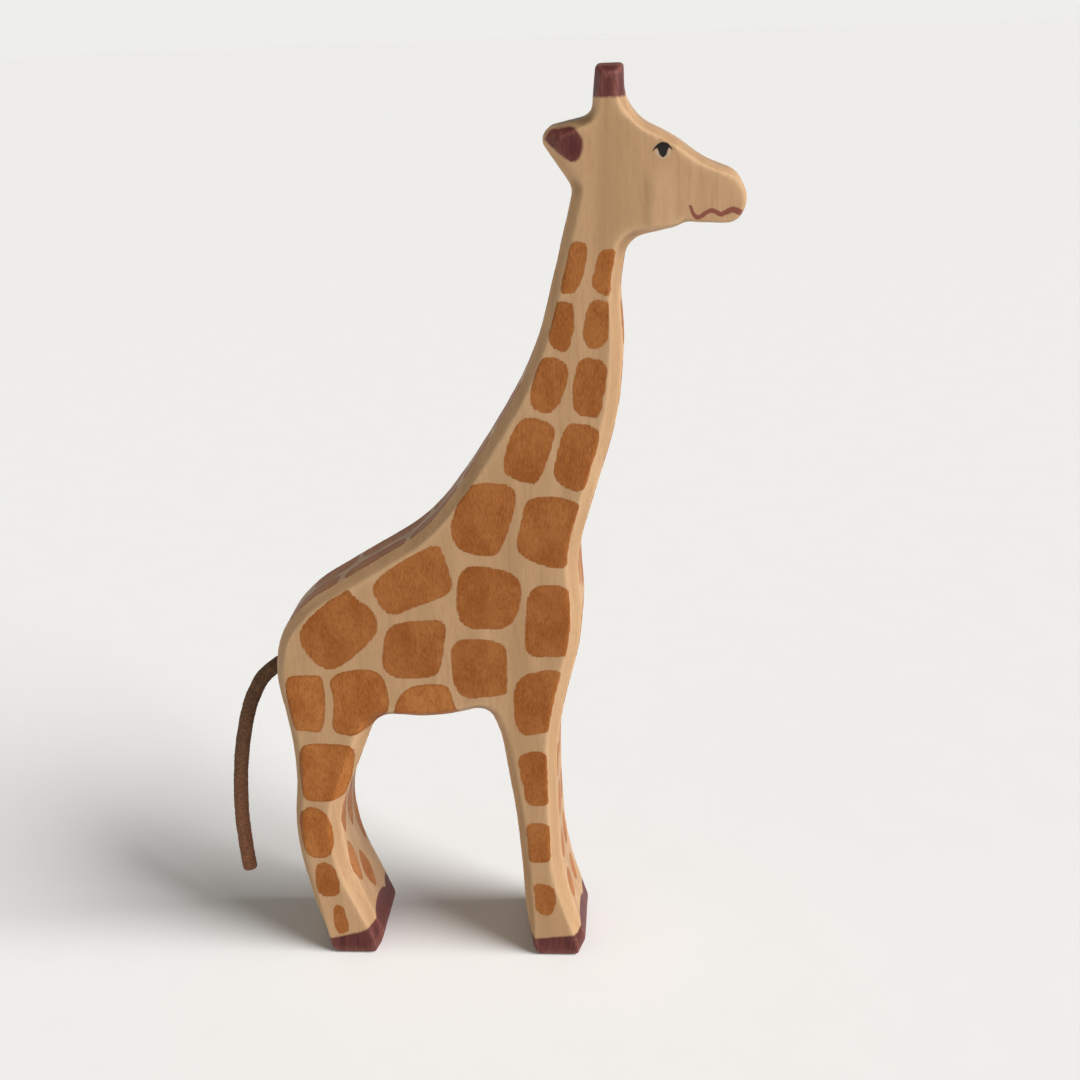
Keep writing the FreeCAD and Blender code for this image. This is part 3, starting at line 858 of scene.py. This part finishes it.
wood = Finish("stained_maple")
slow_drift = wood.noise(wood.stretched(1, 1, 0.5), 0.03, detail=1.0)
drift = wood.sum("MULTIPLY", wood.sum("SUBTRACT", slow_drift, 0.5), GRAIN_DRIFT)
shifted = wood.add("ShaderNodeVectorMath", operation="ADD")
push = wood.add("ShaderNodeCombineXYZ", {"X": drift, "Y": drift})
wood.give(shifted.inputs[0], wood.stretched(1, 1, 0.035))
wood.give(shifted.inputs[1], push.outputs[0])
grain_place = shifted.outputs[0]

years = wood.noise(grain_place, 0.22, detail=2.0, roughness=0.4)
streaks = wood.noise(grain_place, 1.25, detail=3.0, roughness=0.6)
fibres = wood.noise(wood.stretched(1, 1, 0.11), 2.6, detail=3.0, roughness=0.65)
flecks = wood.noise(wood.stretched(1, 1, 0.22), 1.5, detail=1.0)
blotches = wood.noise(wood.stretched(1, 1, 0.6), 0.045, detail=2.0)

MAPLE_PALE = grey_levels(188, 151, 114)
MAPLE_MID = grey_levels(172, 136, 100)
MAPLE_DEEP = grey_levels(150, 113, 78)
maple = wood.mixed(wood.between(years, 0.35, 0.68), MAPLE_PALE, MAPLE_MID)
maple = wood.mixed(wood.between(streaks, 0.52, 0.80, 0.0, 0.55), maple, MAPLE_DEEP)
maple = wood.mixed(wood.between(flecks, 0.66, 0.74, 0.0, 0.30), maple, MAPLE_DEEP)
maple = wood.mixed(wood.between(fibres, 0.45, 0.85, 0.0, 0.35), maple, MAPLE_DEEP)
maple = wood.mixed(wood.between(blotches, 0.40, 0.75, 0.0, 0.35), maple, MAPLE_MID)
print("bare maple is mixed from five grains")

# %% [markdown]
# ## The coat's stain
#
# The stain is thin, so the grain shows through it and even darker than before, because the
# softer fibres drink more. It dries darker in a narrow rim where the brush left its edge, and it
# creeps along the grain, which makes the top and bottom of a patch ragged and leaves its
# sides clean. The brush put on more in some places than in others.

# %% Lay the coat's stain over the wood
CREEP_REACH, WOBBLE_REACH = 0.42, 0.35  # how far a patch's edge strays, in millimetres
COAT_COVER = 0.97
RIM_SHARE = 0.40

creep = wood.noise(wood.stretched(1, 1, 0.30), 1.7, detail=3.0, roughness=0.7)
wobble = wood.noise(wood.stretched(1, 1, 1), 0.45, detail=1.0)
uneven = wood.sum(
    "ADD",
    wood.sum("MULTIPLY", wood.sum("SUBTRACT", creep, 0.5), CREEP_REACH),
    wood.sum("MULTIPLY", wood.sum("SUBTRACT", wobble, 0.5), WOBBLE_REACH),
)
patch_edge = wood.sum("ADD", wood.measure("patch_distance"), uneven)
patch_cover = wood.between(patch_edge, 0.12, -0.12)
patch_rim = wood.between(patch_edge, -0.75, -0.05)
brushed = wood.noise(wood.stretched(1, 1, 0.6), 0.14, detail=3.0, roughness=0.6)
soaked = wood.noise(wood.stretched(1, 1, 0.30), 2.7, detail=2.0, roughness=0.6)
pores = wood.noise(wood.stretched(1, 1, 0.40), 3.4, detail=1.0)

COAT_PALE = grey_levels(176, 112, 56)
COAT_MID = grey_levels(154, 88, 33)
COAT_DEEP = grey_levels(118, 58, 17)
COAT_PORE = grey_levels(88, 42, 12)
coat = wood.mixed(wood.between(brushed, 0.38, 0.62), COAT_PALE, COAT_MID)
coat = wood.mixed(wood.between(soaked, 0.42, 0.70, 0.0, 0.55), coat, COAT_DEEP)
coat = wood.mixed(wood.between(soaked, 0.48, 0.30, 0.0, 0.40), coat, COAT_PALE)
coat = wood.mixed(wood.between(pores, 0.60, 0.74, 0.0, 0.30), coat, COAT_PORE)
coat = wood.mixed(wood.sum("MULTIPLY", patch_rim, RIM_SHARE), coat, COAT_DEEP)
colour = wood.mixed(wood.sum("MULTIPLY", patch_cover, COAT_COVER), maple, coat)
print("the coat's stain is laid")

# %% [markdown]
# ## Hooves, horns and ears
#
# The dark stain is thicker and redder. It hides most of the grain but is streaky, and its upper edge
# is soft where the brush ran dry. Along the sharp edges it is paler, partly where handling has rubbed
# it thin and partly as a painted highlight where the edges catch the light.

# %% Lay the dark stain
dark_edge = wood.sum("ADD", wood.measure("dark_distance"), wood.sum("MULTIPLY", uneven, 0.9))
dark_cover = wood.between(dark_edge, 0.30, -0.35)
dark_brush = wood.noise(wood.stretched(1, 1, 0.16), 0.8, detail=4.0, roughness=0.65)
DARK_DEEP = grey_levels(74, 35, 35)
DARK_MID = grey_levels(101, 53, 49)
# Paler colour along the dark stain's sharp edges: partly stain rubbed thin, partly painted highlight.
DARK_WORN_AND_LIT = grey_levels(134, 84, 76)
dark = wood.mixed(wood.between(dark_brush, 0.34, 0.66), DARK_DEEP, DARK_MID)
dark_worn_and_lit_cover = wood.sum("MULTIPLY", wood.measure("worn_and_lit_edge"), wood.between(creep, 0.35, 0.62, 0.15, 0.75))
dark = wood.mixed(dark_worn_and_lit_cover, dark, DARK_WORN_AND_LIT)
colour = wood.mixed(dark_cover, colour, dark)
print("the dark stain is laid")

# %% [markdown]
# ## Eyes, mouth, pale edges and painted corner shade
#
# The eye and the mouth are opaque paint on top of everything, so they come last. Under them go two
# marks that follow the edges. Bare sharp edges are a little paler, partly where hands have rubbed them
# and partly as a painted highlight where they catch the light. The inner corners are darkened as
# painted shade.

# %% Paint the face, the pale edges and the corner shade
EYE_PALE = grey_levels(186, 170, 154)
EYE_BLACK = grey_levels(13, 17, 24)
MOUTH_RED = grey_levels(118, 51, 49)
# Pale colour for bare sharp edges: partly rubbed wood, partly a painted highlight.
WORN_AND_LIT_PALE = grey_levels(226, 190, 152)
# Dark colour for the painted shade in the inner corners.
PAINTED_CORNER_SHADE = grey_levels(96, 70, 48)
WORN_AND_LIT_SHARE = 0.22
CORNER_SHADE_SHARE = 0.35
fine_wobble = wood.sum("MULTIPLY", wood.sum("SUBTRACT", creep, 0.5), 0.30)


def brushed_on(base, measure, soft, share, paint_colour):
    """Paint laid inside an outline, with an edge that is soft by so many millimetres."""
    edge = wood.sum("ADD", wood.measure(measure), fine_wobble)
    cover = wood.between(edge, soft, -soft, 0.0, share)
    return wood.mixed(cover, base, paint_colour)


bare = wood.sum("SUBTRACT", 1.0, wood.sum("MAXIMUM", patch_cover, dark_cover))
# Bare sharp edges are made paler, partly as wear and partly as a painted highlight.
worn_and_lit_cover = wood.sum("MULTIPLY", wood.sum("MULTIPLY", wood.measure("worn_and_lit_edge"), bare), WORN_AND_LIT_SHARE)
colour = wood.mixed(worn_and_lit_cover, colour, WORN_AND_LIT_PALE)
# Inner corners are darkened: painted shade.
corner_shade_cover = wood.sum("MULTIPLY", wood.measure("inner_corner_shade"), CORNER_SHADE_SHARE)
colour = wood.mixed(corner_shade_cover, colour, PAINTED_CORNER_SHADE)
colour = brushed_on(colour, "white_distance", 0.30, 0.55, EYE_PALE)
colour = brushed_on(colour, "mouth_distance", 0.14, 0.85, MOUTH_RED)
colour = brushed_on(colour, "eye_distance", 0.08, 0.97, EYE_BLACK)

relief = wood.sum("ADD", wood.sum("MULTIPLY", fibres, 0.6), wood.sum("MULTIPLY", streaks, 0.4))
shine = wood.between(fibres, 0.3, 0.8, 0.47, 0.60)
shine = wood.sum("SUBTRACT", shine, wood.sum("MULTIPLY", dark_cover, 0.07))
giraffe.data.materials.append(wood.surface(
    Base_Color=colour,
    Roughness=shine,
    Normal=wood.dent(relief, 0.35, 0.05 * MM),
    Specular_IOR_Level=0.14,
))
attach(giraffe, "root")
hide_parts("carved_body")
print("wood finish has", len(wood.tree.nodes), "nodes")

# %% [markdown]
# ## Leather
#
# The lace is brown split leather. Its nap is a mixture of dark hollows and paler fibre tips, with
# scattered light flecks. It is darker up by the rump and paler and redder towards the cut end. A
# cellular pattern could give scales, but leather of this kind is fibrous, so two sizes of plain noise
# are closer.

# %% Dye the lace
DYE_TOP, DYE_END = grey_levels(122, 90, 64), grey_levels(152, 103, 75)
HOLLOW_TOP, HOLLOW_END = grey_levels(64, 45, 32), grey_levels(88, 56, 40)
LIGHT_FLECK = grey_levels(150, 116, 86)
REDDENS_FROM, REDDENS_TO = 75 * MM, 30 * MM  # heights

leather = Finish("brown_leather")
nap = leather.noise(leather.stretched(1, 1, 1), 2.2, detail=4.0, roughness=0.75)
tufts = leather.noise(leather.stretched(1, 1, 0.7), 0.8, detail=2.0)
specks = leather.noise(leather.stretched(1, 1, 1), 3.4, detail=1.0)
height_of_point = leather.add("ShaderNodeSeparateXYZ", {"Vector": leather.place}).outputs["Z"]
toward_end = leather.between(height_of_point, REDDENS_FROM, REDDENS_TO)
dye = leather.mixed(toward_end, DYE_TOP, DYE_END)
hollow = leather.mixed(toward_end, HOLLOW_TOP, HOLLOW_END)
hide = leather.mixed(leather.between(nap, 0.36, 0.64), hollow, dye)
hide = leather.mixed(leather.between(tufts, 0.40, 0.70, 0.0, 0.35), hide, hollow)
hide = leather.mixed(leather.between(specks, 0.66, 0.76, 0.0, 0.55), hide, LIGHT_FLECK)
tail_lace.data.materials.append(leather.surface(
    Base_Color=hide,
    Roughness=leather.between(nap, 0.3, 0.7, 0.95, 0.78),
    Normal=leather.dent(nap, 0.8, 0.25 * MM),
    Specular_IOR_Level=0.25,
))
print("leather finish has", len(leather.tree.nodes), "nodes")

# %% [markdown]
# ## Glue
#
# Wood glue fills the hole behind the lace. When it is dry it is a hard amber, slightly cloudy, and
# smooth where it touched nothing. It lies inside the hole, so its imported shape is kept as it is.

# %% Give the glue its finish
AMBER_PALE, AMBER_DEEP = grey_levels(196, 152, 84), grey_levels(164, 112, 54)
BUBBLE_PALE = grey_levels(226, 204, 158)

glue = Finish("dried_wood_glue")
cloud = glue.noise(glue.stretched(1, 1, 1), 0.7, detail=3.0)
bubbles = glue.noise(glue.stretched(1, 1, 1), 2.5, detail=1.0)
amber = glue.mixed(glue.between(cloud, 0.35, 0.65), AMBER_PALE, AMBER_DEEP)
amber = glue.mixed(glue.between(bubbles, 0.62, 0.72, 0.0, 0.5), amber, BUBBLE_PALE)
dried = glue.surface(
    Base_Color=amber,
    Roughness=glue.between(cloud, 0.3, 0.7, 0.28, 0.5),
    Normal=glue.dent(bubbles, 0.4, 0.1 * MM),
)
glue_piece = nodes["tail_glue"]
glue_piece.data.materials.clear()
glue_piece.data.materials.append(dried)
print("glue finish has", len(glue.tree.nodes), "nodes")

# %% [markdown]
# ## The studio
#
# The statue stands on a plain pale floor: a wide disc of matt paper, round so that no corner of it
# ever shows. It could be a small sheet that curves up behind, but the statue is seen from all sides.

# %% Lay the floor
FLOOR_RADIUS = 12.0
FLOOR_SIDES = 64
PAPER_PALE = grey_levels(250, 250, 250)
PAPER_DULL = grey_levels(247, 247, 247)

disc = bmesh.new()
bmesh.ops.create_circle(disc, cap_ends=True, segments=FLOOR_SIDES, radius=FLOOR_RADIUS)
floor_mesh = bpy.data.meshes.new("studio_floor")
disc.to_mesh(floor_mesh)
disc.free()
floor = bpy.data.objects.new("studio_floor", floor_mesh)
bpy.context.scene.collection.objects.link(floor)
paper = Finish("pale_floor")
paper_grain = paper.noise(paper.stretched(1, 1, 1), 0.05, detail=3.0)
paper_colour = paper.mixed(paper_grain, PAPER_PALE, PAPER_DULL)
floor_mesh.materials.append(paper.surface(
    Base_Color=paper_colour,
    Roughness=0.9,
    Specular_IOR_Level=0.1,
))
floor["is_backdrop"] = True
print("floor:", round(2 * FLOOR_RADIUS), "m across")

# %% [markdown]
# ## The light
#
# A large soft light in front and to the right, not very high, makes the front bevels the brightest
# faces and leaves the back dark. A weak warm one behind, level with the statue, gives the rear bevels
# their yellow tint. The rest is light from the pale room: bright round the horizon, where it meets
# the floor in the same tone, dimmer overhead, and thrown back by the floor. Area lamps would do as
# well, but a sun with a wide angle lights every view alike.

# %% Light the room
HORIZON_LIGHT = 0.86
OVERHEAD_LIGHT = 0.10
FADE_START, FADE_END = 0.10, 0.50  # how far up the light starts to dim and has dimmed, from 0 to 1
ROOM_TINT = (1.0, 0.993, 0.975, 1.0)
LAMPS = [
    # name, where the light comes from, strength, softness in degrees, colour
    ("soft_key", (0.78, -0.25, 0.57), 3.95, 38, (1.0, 0.99, 0.975)),
    ("rear_fill", (-0.9, -0.6, 0.0), 0.50, 80, (1.0, 0.94, 0.50)),
]
for name, comes_from, strength, softness, colour in LAMPS:
    lamp = bpy.data.lights.new(name, "SUN")
    lamp.energy = strength
    lamp.angle = math.radians(softness)
    lamp.color = colour
    holder = bpy.data.objects.new(name, lamp)
    bpy.context.scene.collection.objects.link(holder)
    holder.rotation_mode = "QUATERNION"
    holder.rotation_quaternion = Vector(comes_from).to_track_quat("Z", "Y")

room = bpy.data.worlds.new("pale_room")
room.use_nodes = True
room.node_tree.nodes.clear()
sky = room.node_tree.nodes
direction = sky.new("ShaderNodeTexCoord")
parts = sky.new("ShaderNodeSeparateXYZ")
fade = sky.new("ShaderNodeMapRange")
fade.interpolation_type = "SMOOTHSTEP"
fade.inputs["From Min"].default_value = FADE_START
fade.inputs["From Max"].default_value = FADE_END
fade.inputs["To Min"].default_value = HORIZON_LIGHT
fade.inputs["To Max"].default_value = OVERHEAD_LIGHT
glow = sky.new("ShaderNodeBackground")
glow.inputs["Color"].default_value = ROOM_TINT
out = sky.new("ShaderNodeOutputWorld")
for start, end in (
    (direction.outputs["Generated"], parts.inputs[0]),
    (parts.outputs["Z"], fade.inputs["Value"]),
    (fade.outputs["Result"], glow.inputs["Strength"]),
    (glow.outputs[0], out.inputs["Surface"]),
):
    room.node_tree.links.new(start, end)
bpy.context.scene.world = room
bpy.context.scene.view_settings.view_transform = "Standard"
print("lamps:", ", ".join(name for name, *_ in LAMPS))

# %% [markdown]
#
# The finished statue is meant to be as large as the imported model, so both boxes are printed.

# %% Print the sizes
sizes = {
    "cad": [list(corner) for corner in cad_box],
    "visual": [list(corner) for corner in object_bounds()],
}
for name, (low, high) in sizes.items():
    print(name, "box, mm:", [round((b - a) / MM, 2) for a, b in zip(low, high)])
